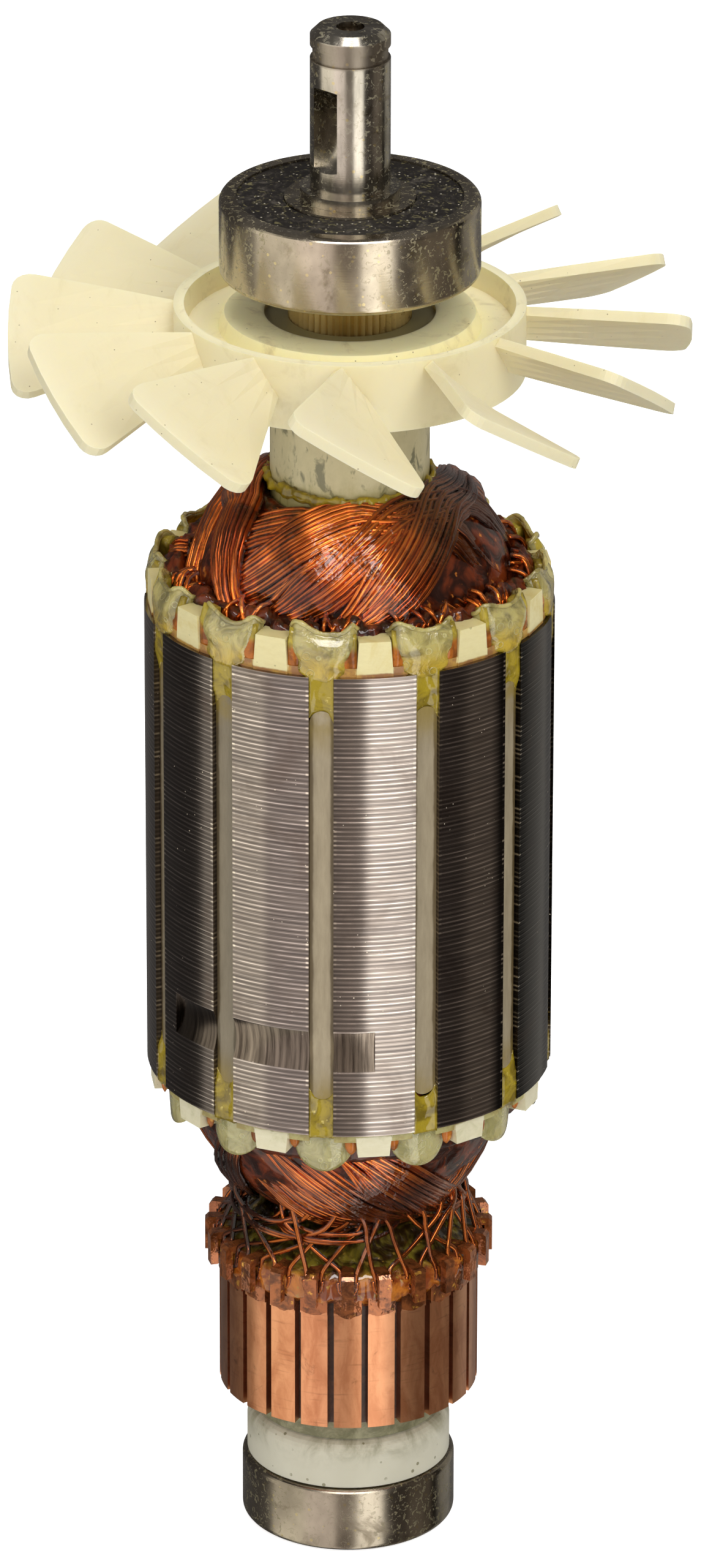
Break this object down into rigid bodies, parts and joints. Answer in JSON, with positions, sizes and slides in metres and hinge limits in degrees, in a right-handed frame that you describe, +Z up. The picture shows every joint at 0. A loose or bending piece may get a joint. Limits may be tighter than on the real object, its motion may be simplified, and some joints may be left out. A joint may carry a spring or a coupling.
{
  "type": "motor armature",
  "caption": "Wound armature of a small universal motor, with a slotted laminated core, commutator, cooling fan and two ball bearings on a keyed steel shaft.",
  "frame": {"origin": "centre of the commutator end bearing's outer face, at the bottom of the part", "axes": "+Z runs up the shaft's axis to the drive end, and -Y is the side with the longer part of the balancing cut"},
  "size_m": [0.068, 0.068, 0.163],
  "materials": {
    "shaft_steel": "ground, with a little staining",
    "bearing_steel": "ground and streaked by use",
    "seal_rubber": "moulded, matt",
    "cage_nylon": "moulded",
    "ball_steel": "polished",
    "fan_plastic": "moulded, slightly translucent at thin edges",
    "lamination_steel": "stacked sheets, turned, with thin varnish",
    "upper_block_fibre": "varnished fibre",
    "lower_block_fibre": "varnished fibre",
    "liner_film": "film soaked in glossy varnish",
    "wedge_fibre": "fibrous, varnished in patches",
    "sleeve_fibre": "fibre sleeve, streaked with varnish",
    "enamelled_wire": "copper wire under amber enamel and varnish",
    "commutator_moulding": "moulded phenolic",
    "commutator_copper": "turned copper with brush marks",
    "boot_plastic": "moulded"
  },
  "bodies": {
    "armature": {"shaft": "shaft_steel", "drive_bearing_inner_ring": "bearing_steel", "comm_bearing_inner_ring": "bearing_steel", "fan": "fan_plastic", "core_stack": "lamination_steel", "upper_end_insulator": "upper_block_fibre", "lower_end_insulator": "lower_block_fibre", "slot_liners": "liner_film", "slot_wedges": "wedge_fibre", "upper_sleeve": "sleeve_fibre", "lower_sleeve": "sleeve_fibre", "coil_01": "enamelled_wire", "coil_02": "enamelled_wire", "coil_03": "enamelled_wire", "coil_04": "enamelled_wire", "coil_05": "enamelled_wire", "coil_06": "enamelled_wire", "coil_07": "enamelled_wire", "coil_08": "enamelled_wire", "coil_09": "enamelled_wire", "coil_10": "enamelled_wire", "coil_11": "enamelled_wire", "coil_12": "enamelled_wire", "commutator_hub": "commutator_moulding", "commutator_bar_01": "commutator_copper", "commutator_bar_02": "commutator_copper", "commutator_bar_03": "commutator_copper", "commutator_bar_04": "commutator_copper", "commutator_bar_05": "commutator_copper", "commutator_bar_06": "commutator_copper", "commutator_bar_07": "commutator_copper", "commutator_bar_08": "commutator_copper", "commutator_bar_09": "commutator_copper", "commutator_bar_10": "commutator_copper", "commutator_bar_11": "commutator_copper", "commutator_bar_12": "commutator_copper", "commutator_bar_13": "commutator_copper", "commutator_bar_14": "commutator_copper", "commutator_bar_15": "commutator_copper", "commutator_bar_16": "commutator_copper", "commutator_bar_17": "commutator_copper", "commutator_bar_18": "commutator_copper", "commutator_bar_19": "commutator_copper", "commutator_bar_20": "commutator_copper", "commutator_bar_21": "commutator_copper", "commutator_bar_22": "commutator_copper", "commutator_bar_23": "commutator_copper", "commutator_bar_24": "commutator_copper", "commutator_leads": "enamelled_wire", "insulating_boot": "boot_plastic"},
    "drive_bearing_outer": {"drive_bearing_outer_ring": "bearing_steel", "drive_bearing_upper_seal": "seal_rubber", "drive_bearing_lower_seal": "seal_rubber"},
    "drive_bearing_ball_set": {"drive_bearing_balls": "ball_steel", "drive_bearing_cage": "cage_nylon"},
    "comm_bearing_outer": {"comm_bearing_outer_ring": "bearing_steel", "comm_bearing_upper_seal": "seal_rubber", "comm_bearing_lower_seal": "seal_rubber"},
    "comm_bearing_ball_set": {"comm_bearing_balls": "ball_steel", "comm_bearing_cage": "cage_nylon"}
  },
  "joints": [
    {"name": "drive_bearing_spin", "type": "hinge", "parent": "armature", "child": "drive_bearing_outer", "pos_m": [0, 0, 0.1414], "axis": [0, 0, 1], "continuous": true},
    {"name": "drive_balls_spin", "type": "hinge", "parent": "armature", "child": "drive_bearing_ball_set", "pos_m": [0, 0, 0.1414], "axis": [0, 0, 1], "continuous": true},
    {"name": "comm_bearing_spin", "type": "hinge", "parent": "armature", "child": "comm_bearing_outer", "pos_m": [0, 0, 0.0035], "axis": [0, 0, 1], "continuous": true},
    {"name": "comm_balls_spin", "type": "hinge", "parent": "armature", "child": "comm_bearing_ball_set", "pos_m": [0, 0, 0.0035], "axis": [0, 0, 1], "continuous": true}
  ],
  "couplings": [
    {"joint": "drive_balls_spin", "follows": "drive_bearing_spin", "ratio": 0.6322},
    {"joint": "comm_balls_spin", "follows": "comm_bearing_spin", "ratio": 0.6323}
  ]
}
